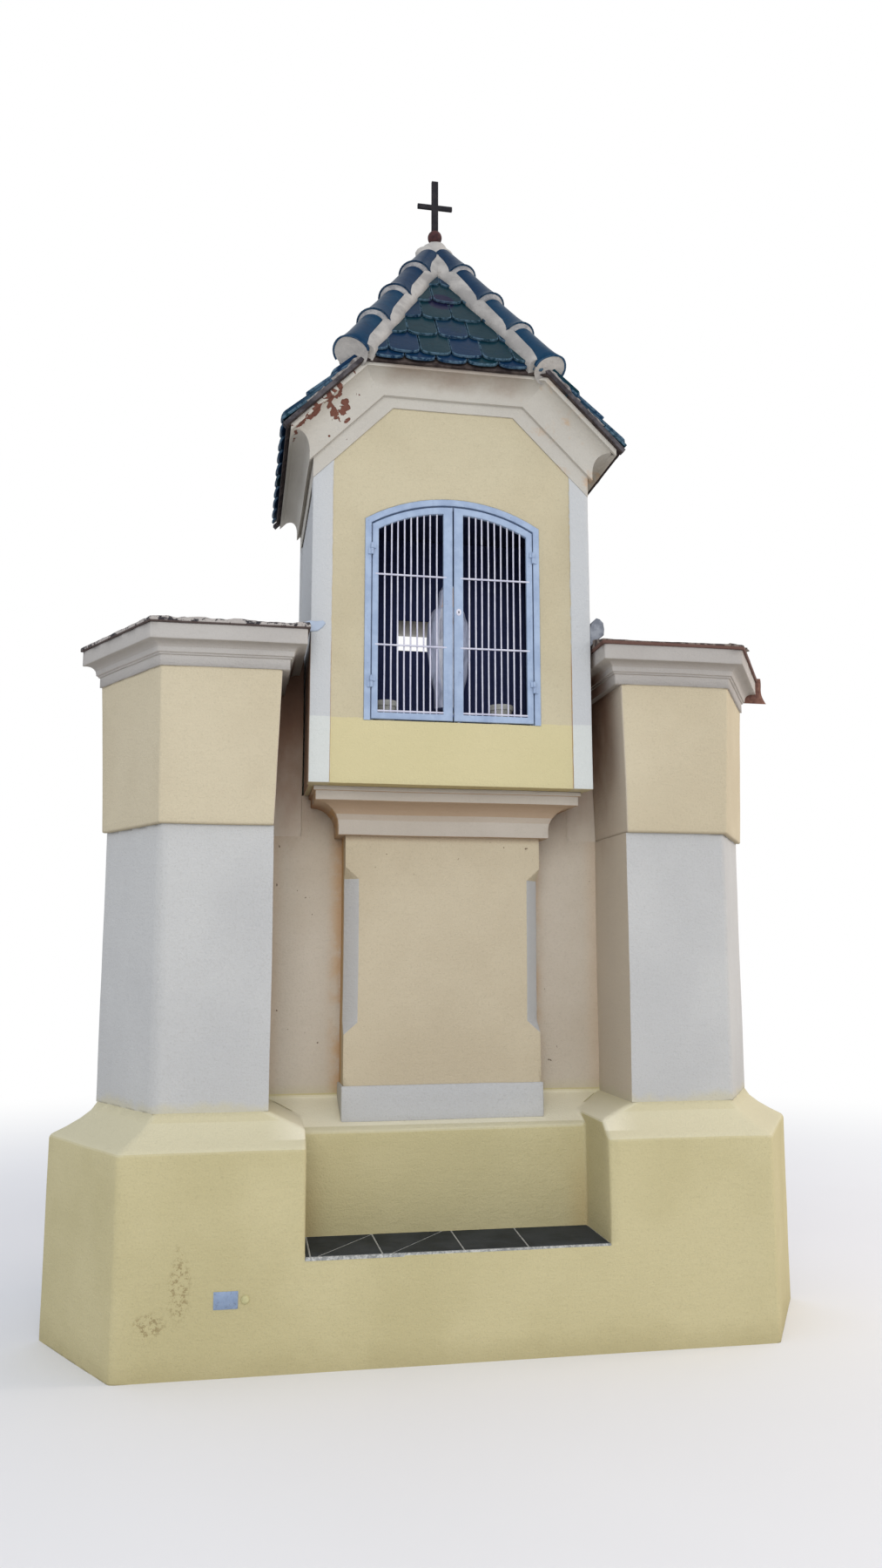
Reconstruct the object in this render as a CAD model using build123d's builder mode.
from build123d import *
import math
import os

# Wayside shrine: two splayed side piers, a seat recess between them, and a corbelled
# shrine box with a half-hipped tiled roof, a pair of grille doors and a figure inside.
# Millimetres, +Z up, front towards -Y. The origin is on the ground, in the middle of the plan.

os.makedirs("parts", exist_ok=True)

# Plan of the masonry
body_depth = 1300           # front of the plinth to the back of the rear plinth
wing_depth = 585            # front of the plinth to the wall at the back of the niche
flank_angle = 30.3          # outer faces of the wings, off the line of sight
plinth_outer = 1342         # half width of the plinth at its front edge
recess_depth = 330
shaft_setback = 130         # shaft face behind the plinth face at the front
shaft_outer_setback = 117   # and at its outer corner
shaft_inner_setback = 150   # and at the recess
wing_clearance = 10         # between the caps of the wings and the box
rear_half = 950             # half width of the wall behind the niche
rear_setback = 130

# Heights of the masonry
plinth_height = 830
plinth_slope_rise = 130
seat_height = 425
seat_thickness = 12         # slates in mortar
sill_front_rise = 15        # front of the sill over the top of the plinth
sill_back_drop = 2          # back of the sill under the foot of the shafts
shaft_height = 1160
block_height = 658
cornice_height = 162
cap_thickness = 18
cap_fall = 32

# How far each level stands out from the shaft
block_foot_growth = 20
block_top_growth = 44
block_inner_growth = 20     # at its head, towards the box
band_growth = 52
band_height = 44
step_growth = 8             # of each of two fillets over the band
step_height = 8
cyma_growth = 102
cyma_height = 36
fascia_growth = 120
cap_growth = 130

# Pedestal and corbel under the box
pedestal_half = 443
pedestal_front = 400        # behind the plinth front
pedestal_base_height = 65
pedestal_base_proud = 8
pedestal_height = 1087
chamfer_leg = 60
chamfer_foot_rise = 217     # over the base band
chamfer_head_drop = 140     # under the corbel
chamfer_stop = 52
chamfer_point = 0.5         # leg of the chamfer at the tip of each stop
cut_margin = 2              # how far cutting blocks reach past a face
corbel_band_growth = 37
corbel_band_height = 40
corbel_cavetto_run = 110
corbel_cavetto_rise = 100
corbel_fillet_height = 40
corbel_lip = 10
corbel_lip_height = 20

# Shrine box
box_half = 630
box_front = 150             # behind the plinth front
box_depth = 1000
box_floor_thickness = 280
box_front_wall = 122
box_side_wall = 120
box_rear_wall_thickness = 300
rear_window_half = 155      # small opening high in the rear wall
rear_window_rise = 500       # over the floor of the box
rear_window_height = 155
strip_width = 90            # white strips on the corners
strip_relief = 8
ceiling_rise = 48           # over the crown of the door
ceiling_thickness = 40

# Door opening, with a segmental head
door_half = 396
door_jamb_height = 910
door_rise = 112

# Gable moulding
field_rise = 413            # crown of the door to the top of the plain field
field_half = 275            # half width of the field at its top
gable_rise = 155            # top of the field to the top of the level moulding
moulding_width = 210        # across the raking moulding
frieze_width = 66
bead_projection = 26
bead_width = 18
cavetto_projection = 96
moulding_projection = 113
lip_width = 20
cavetto_sag = 20.5          # depth of the hollow below its chord

# Roof
tile_thickness = 45
eave_overhang = 20
roof_rise = 960             # level moulding to the point of the roof
hip_radius = 68
hip_sink = 14
hip_overhang = 12           # of the lowest ridge tile past the corner of the roof
hip_top_gap = 176           # from the apex down each hip, under the mortar cap
apex_cap_radius = 114
apex_shoulder_radius = 80
apex_shoulder_drop = 19     # below the point of the roof
apex_tip_radius = 20
ball_radius = 36
ball_rise = 76              # middle of the ball over the point of the roof
ball_flat = 4               # cut off the ball where the cap and the cross meet it
cross_lower_arm = 137       # ball to the middle of the bar
cross_upper_arm = 145
cross_half_span = 90
cross_upright = 34
cross_bar = 24
cross_thickness = 16

# Grille doors
frame_width = 28
frame_depth = 30
frame_relief = 3
leaf_gap = 5
leaf_head_gap = 9
leaf_meeting_gap = 7
leaf_sill_gap = 7
leaf_depth = 20
hinge_stile = 27
meeting_stile = 41
bottom_rail = 28
head_rail = 30
grille_bar = 8
grille_bars = 9
cross_rod = 9               # round bars laid over the stiles
cross_rod_lap = 14
rod_sink = 1                # of the cross rods in the bars, where they are welded
cross_rod_rises = (337, 657)  # over the floor of the box
hinge_radius = 7
pin_radius = 3.5
pin_clearance = 0.3
hinge_gap = 1
knuckle_length = 25
hinge_offset = 2.5          # axis beyond the edge of the leaf
hinge_rises = (170, 770)    # over the floor of the box
escutcheon_width = 24
escutcheon_height = 32
escutcheon_thickness = 2
keyhole_rise = 500          # over the floor of the box
keyhole_radius = 4.5
keyhole_slot = 5

# Things inside the box and small fittings
figure_height = 600
figure_x = 30
figure_back = 440           # its axis, behind the plinth front
figure_half_width = 106
figure_half_depth = 72
flowers_half = 84
flowers_height = 118
pot_rim_radius = 58
pot_foot_radius = 44
pot_height = 118
pot_rim_height = 20
pot_wall = 6
left_pot_x = -281
right_pot_x = 253
pot_back = 330
plate_x = -920
plate_height = 280
plate_width = 93
plate_tall = 65
plate_thickness = 3
bolt_x = -847
bolt_radius = 16
bolt_length = 12
end_sheet_width = 170       # rusty sheet on the back of the right wing, under its cap
end_sheet_proud = 25        # beyond the end of the cap
end_sheet_drop = 165
end_sheet_thickness = 3
fillet_width = 66           # mortar piece that closes the corner of the box and the right cap
fillet_height = 124
fillet_depth = 70
fillet_head = 20            # width at its top
fillet_shoulder = (54, 74)  # out and up from its lower corner

# Values that follow from the sizes above
front_y = -body_depth / 2
back_y = body_depth / 2
niche_y = front_y + wing_depth
flank_slope = math.tan(math.radians(flank_angle))
flank_corner = (1 - math.sin(math.radians(flank_angle))) / math.cos(math.radians(flank_angle))
shaft_front_y = front_y + shaft_setback
shaft_outer = plinth_outer - shaft_outer_setback
shaft_inner = box_half + cap_growth + wing_clearance
recess_half = shaft_inner - shaft_inner_setback
shaft_foot = plinth_height + plinth_slope_rise
shaft_top = shaft_foot + shaft_height
block_top = shaft_top + block_height
cornice_top = block_top + cornice_height
sill_front_height = plinth_height + sill_front_rise
sill_back_height = shaft_foot - sill_back_drop
rear_back_y = back_y - rear_setback
pedestal_y = front_y + pedestal_front
pedestal_base_top = sill_back_height + pedestal_base_height
pedestal_top = pedestal_base_top + pedestal_height
chamfer_foot = pedestal_base_top + chamfer_foot_rise
chamfer_head = pedestal_top - chamfer_head_drop
corbel_band_top = pedestal_top + corbel_band_height
corbel_hollow_top = corbel_band_top + corbel_cavetto_rise
corbel_fillet_top = corbel_hollow_top + corbel_fillet_height
box_bottom = corbel_fillet_top + corbel_lip_height
box_floor_height = box_bottom + box_floor_thickness
door_springing = box_floor_height + door_jamb_height
door_crown = door_springing + door_rise
rear_window_foot = box_floor_height + rear_window_rise
ceiling_height = door_crown + ceiling_rise
field_top = door_crown + field_rise
gable_top = field_top + gable_rise
apex_height = gable_top + roof_rise
ball_height = apex_height + ball_rise
ball_foot = ball_height - ball_radius + ball_flat
ball_top = ball_height + ball_radius - ball_flat
cross_bar_height = ball_top + cross_lower_arm
cross_top = cross_bar_height + cross_upper_arm
box_y = front_y + box_front
box_back_y = box_y + box_depth
box_mid_y = (box_y + box_back_y) / 2
field_y = box_y + strip_relief
field_x = box_half - strip_relief
inner_y = box_y + box_front_wall
inner_back_y = box_back_y - box_rear_wall_thickness
inner_x = field_x - box_side_wall
rake_line = field_half + field_top                      # x + z along the foot of the frieze
roof_line = rake_line + moulding_width * math.sqrt(2)   # x + z along the top of the moulding
gable_half = roof_line - gable_top
tile_line = roof_line + tile_thickness * math.sqrt(2)
eave_x = field_x + moulding_projection + eave_overhang
eave_y = field_y - moulding_projection - eave_overhang
kink_height = gable_top + tile_thickness
kink_x = tile_line - kink_height
door_radius = (door_half**2 + door_rise**2) / (2 * door_rise)
door_centre = door_crown - door_radius
frame_y = field_y - frame_relief
leaf_outer = door_half - frame_width - leaf_gap
leaf_inner = leaf_meeting_gap / 2
leaf_foot = box_floor_height + leaf_sill_gap
leaf_head_radius = door_radius - frame_width - leaf_head_gap
hinge_x = leaf_outer + hinge_offset
hinge_y = frame_y - hinge_radius - hinge_gap


def wing_outline(side, front, outer, inner):
    """Plan of one wing: straight front and inner face, splayed outer face, flat back."""
    back_outer = outer + (niche_y - front) * flank_slope
    return [(side * inner, front), (side * outer, front),
            (side * back_outer, niche_y), (side * inner, niche_y)]


def grown_wing(side, growth, inner_growth=None):
    """Plan of one wing, standing out from the shaft. The side to the box may stand out less."""
    inner = shaft_inner - (growth if inner_growth is None else inner_growth)
    return wing_outline(side, shaft_front_y - growth, shaft_outer + flank_corner * growth, inner)


def grown_shoulder(side, growth):
    """Plan of the wall beside the box, standing out at its free side and its back."""
    outer = rear_half + growth
    back = rear_back_y + growth
    return [(side * box_half, niche_y), (side * outer, niche_y),
            (side * outer, back), (side * box_half, back)]


def grown_rear(growth):
    """Plan of the wall behind the niche."""
    outer = rear_half + growth
    back = rear_back_y + growth
    return [(-outer, niche_y), (outer, niche_y), (outer, back), (-outer, back)]


def grown_pedestal(growth):
    """Plan of the pedestal, standing out at its front and sides."""
    half = pedestal_half + growth
    front = pedestal_y - growth
    return [(-half, front), (half, front), (half, niche_y), (-half, niche_y)]


def stacked(runs):
    """Solid through the plans of each run, from the bottom up. A run is a list of (z, plan)."""
    with BuildPart() as solid:
        for run in runs:
            for height, plan in run:
                with BuildSketch(Plane.XY.offset(height)):
                    with BuildLine():
                        Polyline(*plan, close=True)
                    make_face()
            loft(ruled=True)
    return solid


def save(piece, name):
    piece.part.label = name
    export_step(piece.part, f"parts/{name}.step")


def block_between(low, high):
    """Plain block from its lowest to its highest corner."""
    with BuildPart() as block:
        with BuildSketch(Plane.XY.offset(low[2])):
            with Locations(((low[0] + high[0]) / 2, (low[1] + high[1]) / 2)):
                Rectangle(high[0] - low[0], high[1] - low[1])
        extrude(amount=high[2] - low[2])
    return block


# Plinth: splayed in plan, with a hollow weathering up to the foot of each shaft
slope_steps = 4
slope_curve = 1.5
inner_slope_start = 0.5     # share of the rise at which the slope beside the recess begins


def weathering(plan_at):
    """Levels of the hollow slope. plan_at takes the share of the rise, from 0 to 1."""
    rises = [step / slope_steps for step in range(slope_steps + 1)]
    return [(plinth_height + rise * plinth_slope_rise, plan_at(rise)) for rise in rises]


def hollow_share(rise):
    """Share of the setback that the hollow slope has reached at a share of its rise."""
    return 1 - (1 - rise) ** slope_curve


def wing_plinth_plan(side):
    def plan_at(rise):
        share = hollow_share(rise)
        inner_share = max(0, rise - inner_slope_start) / (1 - inner_slope_start)
        return wing_outline(side, front_y + share * shaft_setback,
                            plinth_outer + share * (shaft_outer - plinth_outer),
                            recess_half + inner_share * (shaft_inner - recess_half))
    return plan_at


def rear_plinth_plan(rise):
    return grown_rear(rear_setback * (1 - hollow_share(rise)))


plinths = {}
for side, hand in ((-1, "left"), (1, "right")):
    plan_at = wing_plinth_plan(side)
    plinths[hand] = stacked([[(0, plan_at(0))] + weathering(plan_at)])
    save(plinths[hand], f"{hand}_plinth")

rear_plinth = stacked([[(0, rear_plinth_plan(0))] + weathering(rear_plinth_plan)])
save(rear_plinth, "rear_plinth")

# Seat recess: a low wall flush with the plinths, its slab, and the sloping sill behind
recess_back_y = front_y + recess_depth
seat_wall = block_between((-recess_half, front_y, 0),
                          (recess_half, recess_back_y, seat_height - seat_thickness))
save(seat_wall, "seat_wall")

seat_slab = block_between((-recess_half, front_y, seat_height - seat_thickness),
                          (recess_half, recess_back_y, seat_height))
save(seat_slab, "seat_slab")

sill_slope = (sill_back_height - sill_front_height) / (niche_y - recess_back_y)

with BuildPart() as niche_sill:
    with BuildSketch(Plane.YZ):
        with BuildLine():
            Polyline((recess_back_y, 0), (niche_y, 0), (niche_y, sill_back_height),
                     (recess_back_y, sill_front_height), close=True)
        make_face()
    extrude(amount=shaft_inner, both=True)
    add(plinths["left"].part, mode=Mode.SUBTRACT)
    add(plinths["right"].part, mode=Mode.SUBTRACT)
save(niche_sill, "niche_sill")

# Wings above the plinth: shaft, block, cornice and cap
cyma_steps = 4


def cyma(plan_of):
    """Levels of the small hollow moulding under the fascia."""
    foot = block_top + band_height + 2 * step_height
    start = band_growth + 2 * step_growth
    levels = []
    for step in range(cyma_steps + 1):
        turn = math.radians(90 * step / cyma_steps)
        growth = start + (cyma_growth - start) * (1 - math.cos(turn))
        levels.append((foot + cyma_height * math.sin(turn), plan_of(growth)))
    return levels


def straight_run(plan_of, growth, foot, head):
    """Upright face of a moulding between two heights."""
    return [(foot, plan_of(growth)), (head, plan_of(growth))]


def cornice_runs(plan_of):
    """Band, two small fillets, hollow and fascia, from the bottom up."""
    band_top = block_top + band_height
    step_top = band_top + step_height
    cyma_foot = step_top + step_height
    fascia_foot = cyma_foot + cyma_height
    return [straight_run(plan_of, band_growth, block_top, band_top),
            straight_run(plan_of, band_growth + step_growth, band_top, step_top),
            straight_run(plan_of, band_growth + 2 * step_growth, step_top, cyma_foot),
            cyma(plan_of),
            straight_run(plan_of, fascia_growth, fascia_foot, cornice_top)]


def wing_cap_plan(side, growth):
    """Plan of the cap: its inner edge stays beside the box while the others fall back."""
    return wing_outline(side, shaft_front_y - growth, shaft_outer + flank_corner * growth,
                        shaft_inner - cap_growth)


cap_edge_top = cornice_top + cap_thickness
cap_top = cap_edge_top + cap_fall

for side, hand in ((-1, "left"), (1, "right")):
    def plan_of(growth):
        return grown_wing(side, growth)

    shaft = stacked([[(shaft_foot, plan_of(0)), (shaft_top, plan_of(0))]])
    save(shaft, f"{hand}_shaft")

    wing_block = stacked([[(shaft_top, grown_wing(side, block_foot_growth, 0)),
                           (block_top, grown_wing(side, block_top_growth, block_inner_growth))]])
    save(wing_block, f"{hand}_block")

    wing_cornice = stacked(cornice_runs(plan_of))
    save(wing_cornice, f"{hand}_cornice")

    cap = stacked([[(cornice_top, wing_cap_plan(side, cap_growth)),
                    (cap_edge_top, wing_cap_plan(side, cap_growth)),
                    (cap_top, wing_cap_plan(side, 0))]])
    save(cap, f"{hand}_cap")

# Wall behind the niche, which carries the rear of the box between two shoulders
with BuildPart() as rear_shaft:
    add(stacked([[(shaft_foot, grown_rear(0)), (shaft_top, grown_rear(0))]]).part)
    add(block_between((-box_half, niche_y, shaft_top), (box_half, rear_back_y, box_bottom)).part)
save(rear_shaft, "rear_shaft")

for side, hand in ((-1, "left"), (1, "right")):
    def shoulder_plan(growth):
        return grown_shoulder(side, growth)

    block_run = [(shaft_top, shoulder_plan(block_foot_growth)),
                 (block_top, shoulder_plan(block_top_growth))]
    cap_run = [(cornice_top, shoulder_plan(cap_growth)),
               (cap_edge_top, shoulder_plan(cap_growth)),
               (cap_top, shoulder_plan(0))]
    shoulder = stacked([block_run] + cornice_runs(shoulder_plan) + [cap_run])
    save(shoulder, f"rear_{hand}_shoulder")

# Pedestal with stopped chamfers, on a base band that follows the sloping sill
def sill_height_at(y):
    return sill_front_height + (y - recess_back_y) * sill_slope


base_front_y = pedestal_y - pedestal_base_proud
with BuildPart() as pedestal_base:
    with BuildSketch(Plane.YZ):
        with BuildLine():
            Polyline((base_front_y, sill_height_at(base_front_y)), (niche_y, sill_back_height),
                     (niche_y, pedestal_base_top), (base_front_y, pedestal_base_top), close=True)
        make_face()
    extrude(amount=pedestal_half + pedestal_base_proud, both=True)
save(pedestal_base, "pedestal_base")


def chamfer_plan(side, leg):
    """Triangle cut off the front corner of the pedestal, drawn a little past it."""
    corner_x = pedestal_half + cut_margin
    corner_y = pedestal_y - cut_margin
    reach = leg + 2 * cut_margin
    return [(side * corner_x, corner_y), (side * (corner_x - reach), corner_y),
            (side * corner_x, corner_y + reach)]


def chamfer_cutter(side):
    """Solid that cuts one stopped chamfer."""
    return stacked([[(chamfer_foot, chamfer_plan(side, chamfer_point)),
                     (chamfer_foot + chamfer_stop, chamfer_plan(side, chamfer_leg)),
                     (chamfer_head - chamfer_stop, chamfer_plan(side, chamfer_leg)),
                     (chamfer_head, chamfer_plan(side, chamfer_point))]]).part


chamfer_cutters = [chamfer_cutter(-1), chamfer_cutter(1)]
with BuildPart() as pedestal:
    with BuildSketch(Plane.XY.offset(pedestal_base_top)):
        with BuildLine():
            Polyline(*grown_pedestal(0), close=True)
        make_face()
    extrude(amount=pedestal_top - pedestal_base_top)
    for cutter in chamfer_cutters:
        add(cutter, mode=Mode.SUBTRACT)
save(pedestal, "pedestal")

# Corbel: band, hollow and fillet, spreading out to carry the front of the box
corbel_steps = 6
corbel_fillet_growth = corbel_band_growth + corbel_cavetto_run
corbel_hollow = []
for step in range(corbel_steps + 1):
    turn = math.radians(90 * step / corbel_steps)
    growth = corbel_band_growth + corbel_cavetto_run * (1 - math.cos(turn))
    corbel_hollow.append((corbel_band_top + corbel_cavetto_rise * math.sin(turn),
                          grown_pedestal(growth)))
corbel = stacked([
    [(pedestal_top, grown_pedestal(corbel_band_growth)),
     (corbel_band_top, grown_pedestal(corbel_band_growth))],
    corbel_hollow,
    [(corbel_hollow_top, grown_pedestal(corbel_fillet_growth)),
     (corbel_fillet_top, grown_pedestal(corbel_fillet_growth))],
    [(corbel_fillet_top, grown_pedestal(corbel_fillet_growth + corbel_lip)),
     (box_bottom, grown_pedestal(corbel_fillet_growth + corbel_lip))],
])
save(corbel, "corbel")


# Shrine box. Its corner strips stand proud of the field, and stop under the frieze.
def strip(side, near_y, far_y, foot, head):
    """Corner strip over a range of heights, cut by the rake where it reaches the frieze."""
    inner = box_half - strip_width
    inner_head = min(head, rake_line - inner)
    outer_head = min(head, rake_line - box_half)
    with BuildPart() as piece:
        with BuildSketch(Plane.XZ.offset(-near_y)):
            with BuildLine():
                Polyline((side * inner, foot), (side * box_half, foot),
                         (side * box_half, outer_head), (side * inner, inner_head), close=True)
            make_face()
        extrude(amount=near_y - far_y)
    return piece.part


def front_strip(side, foot, head):
    return strip(side, box_y, box_y + strip_width, foot, head)


def rear_strip(side, foot, head):
    return strip(side, box_back_y - strip_width, box_back_y, foot, head)


with BuildPart() as box_apron:
    add(block_between((-field_x, field_y, box_bottom), (field_x, inner_y, box_floor_height)).part)
    for side in (-1, 1):
        add(front_strip(side, box_bottom, box_floor_height))
save(box_apron, "box_apron")

box_floor = block_between((-field_x, inner_y, box_bottom),
                          (field_x, inner_back_y, box_floor_height))
save(box_floor, "box_floor")

for side, hand in ((-1, "left"), (1, "right")):
    near, far = sorted((side * door_half, side * field_x))
    jamb_block = block_between((near, field_y, box_floor_height), (far, inner_y, door_springing))
    jamb_strip = front_strip(side, box_floor_height, door_springing)
    with BuildPart() as jamb:
        add(jamb_block.part)
        add(jamb_strip)
    save(jamb, f"box_front_{hand}")

    with BuildPart() as side_wall:
        with BuildSketch(Plane.XZ.offset(-inner_y)):
            with BuildLine():
                Polyline((side * inner_x, box_floor_height), (side * field_x, box_floor_height),
                         (side * field_x, roof_line - field_x),
                         (side * inner_x, roof_line - inner_x), close=True)
            make_face()
        extrude(amount=inner_y - inner_back_y)
    save(side_wall, f"box_{hand}_wall")


def gable_wall(near_y, far_y, foot):
    """Wall from the given height up to the underside of the roof."""
    with BuildPart() as wall:
        with BuildSketch(Plane.XZ.offset(-near_y)):
            with BuildLine():
                Polyline((-field_x, foot), (field_x, foot), (field_x, roof_line - field_x),
                         (gable_half, gable_top), (-gable_half, gable_top),
                         (-field_x, roof_line - field_x), close=True)
            make_face()
        extrude(amount=near_y - far_y)
    return wall.part


arch_parts = [gable_wall(field_y, inner_y, door_springing)]
arch_parts += [front_strip(side, door_springing, field_top) for side in (-1, 1)]
with BuildPart() as box_arch_wall:
    for piece in arch_parts:
        add(piece)
    with BuildSketch(Plane.XZ.offset(-(box_y - strip_relief))) as door_head:
        with BuildLine():
            Line((-door_half, door_springing), (door_half, door_springing))
            ThreePointArc((door_half, door_springing), (0, door_crown),
                          (-door_half, door_springing))
        make_face()
    extrude(amount=-(box_front_wall + 3 * strip_relief), mode=Mode.SUBTRACT)
save(box_arch_wall, "box_arch_wall")

rear_parts = [gable_wall(inner_back_y, box_back_y - strip_relief, box_bottom)]
rear_parts += [rear_strip(side, box_bottom, field_top) for side in (-1, 1)]
rear_window = block_between((-rear_window_half, inner_y, rear_window_foot),
                            (rear_window_half, 2 * box_back_y,
                             rear_window_foot + rear_window_height)).part
with BuildPart() as box_rear_wall:
    for piece in rear_parts:
        add(piece)
    add(rear_window, mode=Mode.SUBTRACT)
save(box_rear_wall, "box_rear_wall")

box_ceiling = block_between((-inner_x, inner_y, ceiling_height),
                            (inner_x, inner_back_y, ceiling_height + ceiling_thickness))
save(box_ceiling, "box_ceiling")

# Gable moulding: frieze, bead, hollow and lip, mitred at the rakes and at the corners.
# The level run and the eave runs carry on the section of the raking run at each mitre.
lip_foot = moulding_width - lip_width
bead_top = frieze_width + bead_width
hollow_chord = Vector(cavetto_projection - bead_projection, lip_foot - bead_top)
hollow_middle = (Vector(bead_projection, bead_top) + hollow_chord / 2
                 + hollow_chord.normalized().rotate(Axis.Z, 90) * cavetto_sag)
hollow_middle = (hollow_middle.X, hollow_middle.Y)
top_mitre = Plane(origin=(field_half, 0, field_top),
                  z_dir=(gable_top - field_top, 0, field_half - gable_half))
corner_mitre = Plane(origin=(field_x, field_y, field_top), z_dir=(-1, -1, 0))

with BuildPart() as right_rake:
    with BuildSketch(Plane(origin=(field_half, field_y, field_top),
                           x_dir=(0, -1, 0), z_dir=(-1, 0, 1))):
        with BuildLine():
            Polyline((0, 0), (strip_relief, 0), (strip_relief, frieze_width),
                     (bead_projection, frieze_width), (bead_projection, bead_top))
            ThreePointArc((bead_projection, bead_top), hollow_middle,
                          (cavetto_projection, lip_foot))
            Polyline((cavetto_projection, lip_foot), (moulding_projection, lip_foot),
                     (moulding_projection, moulding_width), (0, moulding_width), (0, 0))
        make_face()
    extrude(amount=2 * field_x, both=True)
    split(bisect_by=top_mitre, keep=Keep.TOP)
    split(bisect_by=corner_mitre, keep=Keep.TOP)


def mitre_face(solid, plane):
    """The face of a solid that lies in a mitre plane."""
    def in_plane(face):
        return abs(face.normal_at().dot(plane.z_dir)) > 0.999
    return solid.faces().filter_by(in_plane).sort_by(SortBy.AREA)[-1]


with BuildPart() as level_run:
    extrude(mitre_face(right_rake.part, top_mitre), amount=field_half + gable_half,
            dir=(-1, 0, 0))
    split(bisect_by=Plane.YZ, keep=Keep.TOP)

with BuildPart() as right_eave_cornice:
    extrude(mitre_face(right_rake.part, corner_mitre), amount=box_depth, dir=(0, 1, 0))
    split(bisect_by=Plane(origin=(0, box_mid_y, 0), z_dir=(0, -1, 0)), keep=Keep.TOP)
    mirror(about=Plane.XZ.offset(-box_mid_y))

with BuildPart() as left_eave_cornice:
    add(mirror(right_eave_cornice.part, about=Plane.YZ, mode=Mode.PRIVATE))

with BuildPart() as front_gable_cornice:
    add(right_rake.part)
    add(level_run.part)
    mirror(about=Plane.YZ)

with BuildPart() as rear_gable_cornice:
    add(mirror(front_gable_cornice.part, about=Plane.XZ.offset(-box_mid_y), mode=Mode.PRIVATE))

save(right_eave_cornice, "right_eave_cornice")
save(left_eave_cornice, "left_eave_cornice")
save(front_gable_cornice, "front_gable_cornice")
save(rear_gable_cornice, "rear_gable_cornice")

# Roof: slopes at 45 degrees up to the level cornice, then steeper up to a point,
# with a hip at the front and the back. It is cut along the hips into four pieces.
eave_back_y = 2 * box_mid_y - eave_y
roof_section = [(eave_x, roof_line - eave_x), (eave_x, tile_line - eave_x),
                (kink_x, kink_height), (0, apex_height), (-kink_x, kink_height),
                (-eave_x, tile_line - eave_x), (-eave_x, roof_line - eave_x),
                (-gable_half, gable_top), (gable_half, gable_top)]
with BuildPart() as roof:
    with BuildSketch(Plane.XZ.offset(-eave_y)):
        with BuildLine():
            Polyline(*roof_section, close=True)
        make_face()
    extrude(amount=eave_y - eave_back_y)
    with BuildSketch(Plane.YZ):
        with BuildLine():
            Polyline((eave_y, 0), (eave_y, kink_height), (box_mid_y, apex_height),
                     (eave_back_y, kink_height), (eave_back_y, 0), close=True)
        make_face()
    extrude(amount=2 * eave_x, both=True, mode=Mode.INTERSECT)

hip_run_y = box_mid_y - eave_y
hip_planes = [Plane(origin=(0, box_mid_y, 0), z_dir=(side * hip_run_y, kink_x, 0))
              for side in (-1, 1)]


def above(height):
    """Block that takes in all of the roof over a height."""
    return block_between((-2 * eave_x, 2 * eave_y, height),
                         (2 * eave_x, 2 * eave_back_y, apex_height + kink_height)).part


def end_hip(front):
    """The hip at the front or the back, above the level cornice."""
    keep = Keep.BOTTOM if front else Keep.TOP
    with BuildPart() as piece:
        add(roof.part)
        add(above(gable_top), mode=Mode.INTERSECT)
        for plane in hip_planes:
            split(bisect_by=plane, keep=keep)
    return piece


roof_front_hip = end_hip(front=True)
roof_rear_hip = end_hip(front=False)
save(roof_front_hip, "roof_front_hip")
save(roof_rear_hip, "roof_rear_hip")

for side, hand in ((-1, "left"), (1, "right")):
    with BuildPart() as slope:
        add(roof.part)
        add(roof_front_hip.part, mode=Mode.SUBTRACT)
        add(roof_rear_hip.part, mode=Mode.SUBTRACT)
        split(bisect_by=Plane(origin=(0, 0, 0), z_dir=(side, 0, 0)), keep=Keep.TOP)
    save(slope, f"roof_{hand}_slope")

# Half round ridges over the four hips, and the mortar cap that closes them at the top
apex = Vector(0, box_mid_y, apex_height)
hip_foot = Vector(kink_x, eave_y, kink_height)
hip_direction = (apex - hip_foot).normalized()
hip_start = hip_foot - Vector(0, 0, hip_sink) - hip_direction * hip_overhang
hip_length = (apex - hip_foot).length - hip_top_gap + hip_overhang
sunk_plane = Plane(origin=hip_start, z_dir=hip_direction)
below_eaves = 2 * hip_radius
point_share = 0.001

with BuildPart() as roof_point:
    reach = 1 + below_eaves / (apex_height - kink_height)
    for height, share in ((kink_height - below_eaves, reach), (apex_height, point_share)):
        with BuildSketch(Plane.XY.offset(height)):
            with Locations((0, box_mid_y)):
                Rectangle(2 * kink_x * share, 2 * (box_mid_y - eave_y) * share)
    loft(ruled=True)

with BuildPart() as hip_ridges:
    with BuildSketch(sunk_plane):
        Circle(hip_radius)
    extrude(amount=hip_length)
    mirror(about=Plane.YZ)
    mirror(about=Plane.XZ.offset(-box_mid_y))
    add(roof_point.part, mode=Mode.SUBTRACT)
    add(roof.part, mode=Mode.SUBTRACT)
save(hip_ridges, "hip_ridges")

cap_foot = apex_height - hip_top_gap * hip_direction.Z - hip_radius
with BuildPart() as apex_cap:
    with BuildSketch(Plane.XZ.offset(-box_mid_y)):
        with BuildLine():
            Line((0, cap_foot), (apex_cap_radius, cap_foot))
            ThreePointArc((apex_cap_radius, cap_foot),
                          (apex_shoulder_radius, apex_height - apex_shoulder_drop),
                          (apex_tip_radius, ball_foot))
            Line((apex_tip_radius, ball_foot), (0, ball_foot))
            Line((0, ball_foot), (0, cap_foot))
        make_face()
    revolve(axis=Axis((0, box_mid_y, 0), (0, 0, 1)))
    add(roof.part, mode=Mode.SUBTRACT)
    add(hip_ridges.part, mode=Mode.SUBTRACT)
save(apex_cap, "apex_cap")

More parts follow.
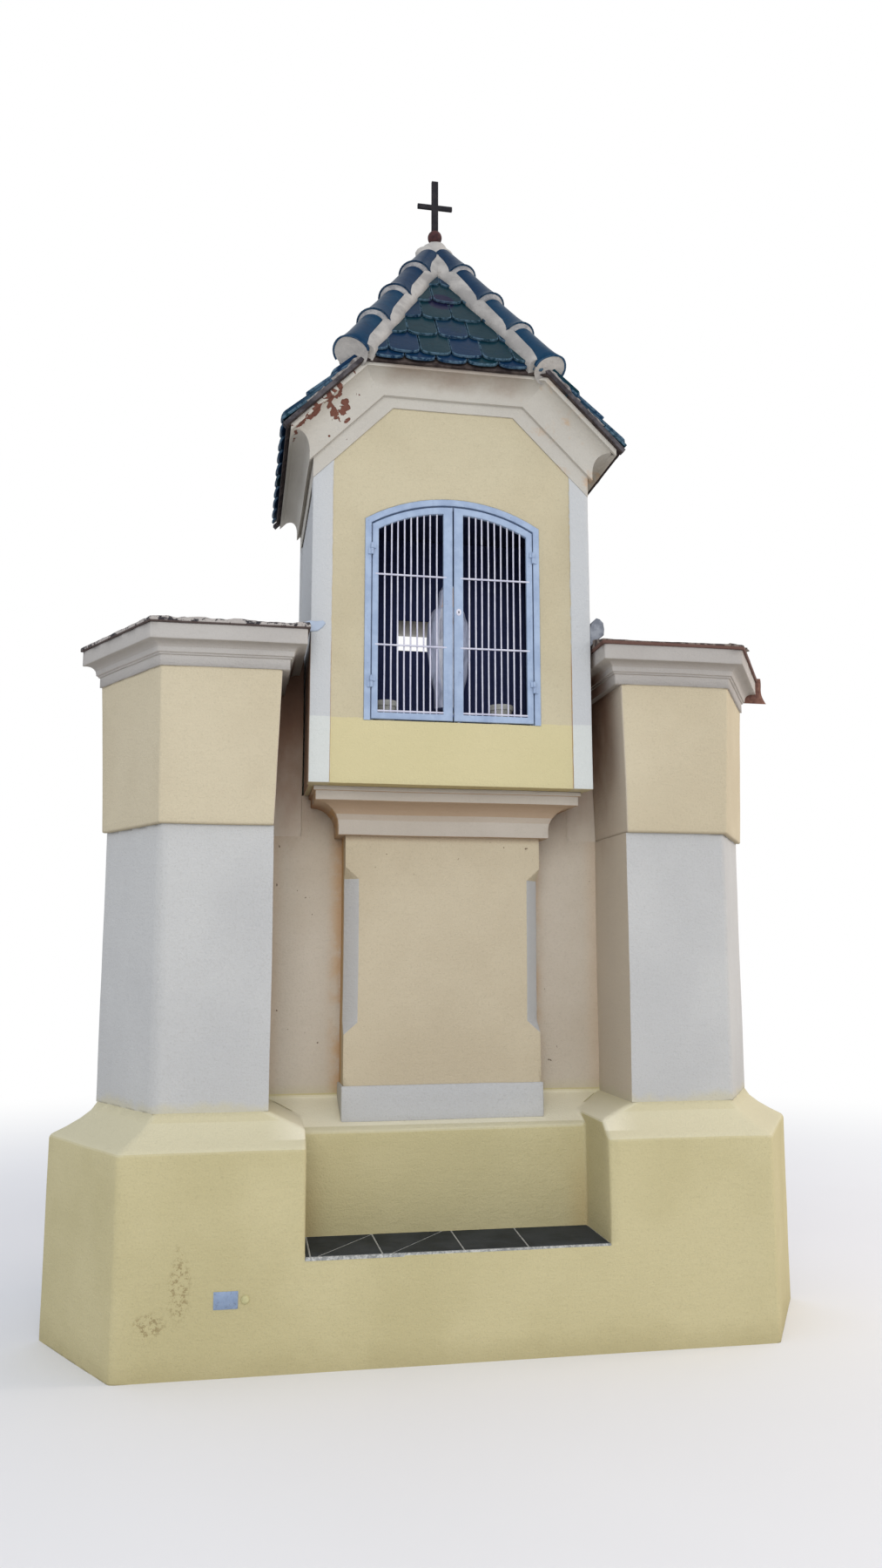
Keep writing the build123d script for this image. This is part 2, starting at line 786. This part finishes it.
with BuildPart() as ball:
    with Locations((0, box_mid_y, ball_height)):
        Sphere(ball_radius)
    split(bisect_by=Plane.XY.offset(ball_foot), keep=Keep.TOP)
    split(bisect_by=Plane.XY.offset(ball_top), keep=Keep.BOTTOM)
save(ball, "ball")

# Cross on the ball
with BuildPart() as cross:
    with BuildSketch(Plane.XZ.offset(-(box_mid_y - cross_thickness / 2))):
        with BuildLine():
            half = cross_upright / 2
            arm_foot = cross_bar_height - cross_bar / 2
            arm_head = cross_bar_height + cross_bar / 2
            Polyline((-half, ball_top), (half, ball_top), (half, arm_foot),
                     (cross_half_span, arm_foot), (cross_half_span, arm_head),
                     (half, arm_head), (half, cross_top), (-half, cross_top),
                     (-half, arm_head), (-cross_half_span, arm_head),
                     (-cross_half_span, arm_foot), (-half, arm_foot), close=True)
        make_face()
    extrude(amount=-cross_thickness)
save(cross, "cross")


# Door frame and grille leaves, with heads that follow the segmental arch
def arch_height(radius, x):
    """Height of an arch of the door's centre over a distance from the middle."""
    return door_centre + math.sqrt(radius**2 - x**2)


def arched_outline(near_x, far_x, foot, radius):
    """Outline between two upright lines, from a foot up to the arch."""
    middle = (near_x + far_x) / 2
    Line((near_x, foot), (far_x, foot))
    Line((far_x, foot), (far_x, arch_height(radius, far_x)))
    ThreePointArc((far_x, arch_height(radius, far_x)), (middle, arch_height(radius, middle)),
                  (near_x, arch_height(radius, near_x)))
    Line((near_x, arch_height(radius, near_x)), (near_x, foot))


frame_inner = door_half - frame_width
with BuildPart() as door_frame:
    with BuildSketch(Plane.XZ.offset(-frame_y)):
        with BuildLine():
            arched_outline(-door_half, door_half, box_floor_height, door_radius)
        make_face()
    extrude(amount=-frame_depth)
    with BuildSketch(Plane.XZ.offset(-(frame_y - frame_depth))):
        with BuildLine():
            arched_outline(-frame_inner, frame_inner, box_floor_height - frame_width,
                           door_radius - frame_width)
        make_face()
    extrude(amount=-3 * frame_depth, mode=Mode.SUBTRACT)
save(door_frame, "door_frame")

opening_near = leaf_inner + meeting_stile
opening_far = leaf_outer - hinge_stile
opening_foot = leaf_foot + bottom_rail
opening_radius = leaf_head_radius - head_rail
keyhole_height = box_floor_height + keyhole_rise
bar_pitch = (opening_far - opening_near) / (grille_bars + 1)
bar_y = frame_y + leaf_depth / 2
cross_rod_y = bar_y - grille_bar / 2 - cross_rod / 2 + rod_sink
rod_start = opening_near - cross_rod_lap
rod_length = opening_far - opening_near + 2 * cross_rod_lap

with BuildPart() as plain_leaf:
    with BuildSketch(Plane.XZ.offset(-frame_y)):
        with BuildLine():
            arched_outline(leaf_inner, leaf_outer, leaf_foot, leaf_head_radius)
        make_face()
    extrude(amount=-leaf_depth)
    with BuildSketch(Plane.XZ.offset(-(frame_y - leaf_depth))):
        with BuildLine():
            arched_outline(opening_near, opening_far, opening_foot, opening_radius)
        make_face()
    extrude(amount=-3 * leaf_depth, mode=Mode.SUBTRACT)
    for count in range(1, grille_bars + 1):
        bar_x = opening_near + count * bar_pitch
        with BuildSketch(Plane.XY.offset(opening_foot - bottom_rail / 2)):
            with Locations((bar_x, bar_y)):
                Circle(grille_bar / 2)
        extrude(amount=arch_height(opening_radius, bar_x) - opening_foot + bottom_rail)
    for rod_rise in cross_rod_rises:
        with BuildSketch(Plane.YZ.offset(rod_start)):
            with Locations((cross_rod_y, box_floor_height + rod_rise)):
                Circle(cross_rod / 2)
        extrude(amount=rod_length)
    for hinge_rise in hinge_rises:
        with BuildSketch(Plane.XY.offset(box_floor_height + hinge_rise)):
            with Locations((hinge_x, hinge_y)):
                Circle(hinge_radius)
            with Locations((hinge_x - hinge_radius - leaf_gap, (hinge_y + frame_y) / 2)):
                Rectangle(2 * hinge_radius, frame_y - hinge_y + 2 * hinge_gap)
            with Locations((hinge_x, hinge_y)):
                Circle(pin_radius + pin_clearance, mode=Mode.SUBTRACT)
        extrude(amount=knuckle_length)

with BuildPart() as right_grille:
    add(plain_leaf.part)
save(right_grille, "right_grille")

with BuildPart() as left_grille:
    add(mirror(plain_leaf.part, about=Plane.YZ, mode=Mode.PRIVATE))
save(left_grille, "left_grille")

# Fixed halves of the hinges: a lower knuckle with its pin, welded to the face of the frame
with BuildPart() as hinge_pins:
    for hinge_rise in hinge_rises:
        hinge_height = box_floor_height + hinge_rise
        with BuildSketch(Plane.XY.offset(hinge_height - hinge_gap)):
            with Locations((hinge_x, hinge_y)):
                Circle(hinge_radius)
            with Locations((hinge_x + hinge_radius + leaf_gap / 2, (hinge_y + frame_y) / 2)):
                Rectangle(2 * hinge_radius, frame_y - hinge_y)
        extrude(amount=-knuckle_length)
        with BuildSketch(Plane.XY.offset(hinge_height - knuckle_length / 2)):
            with Locations((hinge_x, hinge_y)):
                Circle(pin_radius)
        extrude(amount=knuckle_length * 1.5 + 2 * hinge_gap)
    mirror(about=Plane.YZ)
save(hinge_pins, "hinge_pins")

with BuildPart() as lock_escutcheon:
    with BuildSketch(Plane.XZ.offset(-frame_y)):
        with Locations((leaf_inner + meeting_stile / 2, keyhole_height)):
            Rectangle(escutcheon_width, escutcheon_height)
            Circle(keyhole_radius, mode=Mode.SUBTRACT)
        with Locations((leaf_inner + meeting_stile / 2, keyhole_height - keyhole_radius)):
            Rectangle(keyhole_slot, 2 * keyhole_radius, mode=Mode.SUBTRACT)
    extrude(amount=escutcheon_thickness)
save(lock_escutcheon, "lock_escutcheon")

# Veiled figure on a mound of flowers, and two pots, on the floor of the box
figure_y = front_y + figure_back
figure_foot = box_floor_height + flowers_height
figure_levels = ((0, 0.62, 0.86), (0.12, 0.66, 0.80), (0.30, 0.92, 0.90), (0.52, 1.0, 1.0),
                 (0.70, 0.86, 0.86), (0.82, 0.58, 0.68), (0.92, 0.47, 0.62), (1.0, 0.16, 0.20))
with BuildPart() as figure:
    for level, across, deep in figure_levels:
        with BuildSketch(Plane.XY.offset(figure_foot + level * figure_height)):
            with Locations((figure_x, figure_y)):
                Ellipse(across * figure_half_width, deep * figure_half_depth)
    loft()
save(figure, "figure")

with BuildPart() as figure_flowers:
    with BuildSketch(Plane.XY.offset(box_floor_height)):
        with Locations((figure_x, figure_y)):
            RectangleRounded(2 * flowers_half, 2 * flowers_half, flowers_half / 2)
    extrude(amount=flowers_height)
    fillet(figure_flowers.faces().sort_by(Axis.Z)[-1].edges(), flowers_height / 4)
save(figure_flowers, "figure_flowers")


def make_pot(x):
    """Tapered pot with a rim band, hollow from the top."""
    y = front_y + pot_back
    rim_foot = box_floor_height + pot_height - pot_rim_height
    body_radius = pot_rim_radius - pot_wall
    with BuildPart() as pot:
        for height, radius in ((box_floor_height, pot_foot_radius), (rim_foot, body_radius)):
            with BuildSketch(Plane.XY.offset(height)):
                with Locations((x, y)):
                    Circle(radius)
        loft()
        with BuildSketch(Plane.XY.offset(rim_foot)):
            with Locations((x, y)):
                Circle(pot_rim_radius)
        extrude(amount=pot_rim_height)
        for height, radius in ((box_floor_height + 2 * pot_wall, pot_foot_radius - pot_wall),
                               (box_floor_height + pot_height, pot_rim_radius - 2 * pot_wall)):
            with BuildSketch(Plane.XY.offset(height)):
                with Locations((x, y)):
                    Circle(radius)
        loft(mode=Mode.SUBTRACT)
    return pot


save(make_pot(left_pot_x), "left_pot")
save(make_pot(right_pot_x), "right_pot")

# Small plate and bolt on the face of the left plinth
with BuildPart() as wall_plate:
    with BuildSketch(Plane.XZ.offset(-front_y)):
        with Locations((plate_x, plate_height)):
            Rectangle(plate_width, plate_tall)
    extrude(amount=plate_thickness)
save(wall_plate, "wall_plate")

with BuildPart() as wall_bolt:
    with BuildSketch(Plane.XZ.offset(-front_y)):
        with Locations((bolt_x, plate_height)):
            Circle(bolt_radius)
    extrude(amount=bolt_length)
save(wall_bolt, "wall_bolt")

# Rusty sheet on the back of the right wing, hanging from its cap
sheet_end_x = wing_cap_plan(1, cap_growth)[2][0] + end_sheet_proud
end_sheet = block_between((sheet_end_x - end_sheet_width, niche_y,
                           cap_edge_top - end_sheet_drop),
                          (sheet_end_x, niche_y + end_sheet_thickness, cap_edge_top))
save(end_sheet, "end_sheet")

# Mortar piece between the front corner of the box and the right cap
with BuildPart() as corner_fillet:
    with BuildSketch(Plane(origin=(box_half, box_y, cap_top), x_dir=(1, 0, 0), z_dir=(0, -1, 0))):
        with BuildLine():
            Line((0, 0), (fillet_width, 0))
            ThreePointArc((fillet_width, 0), fillet_shoulder, (fillet_head, fillet_height))
            Polyline((fillet_head, fillet_height), (0, fillet_height), (0, 0))
        make_face()
    extrude(amount=-fillet_depth)
save(corner_fillet, "corner_fillet")
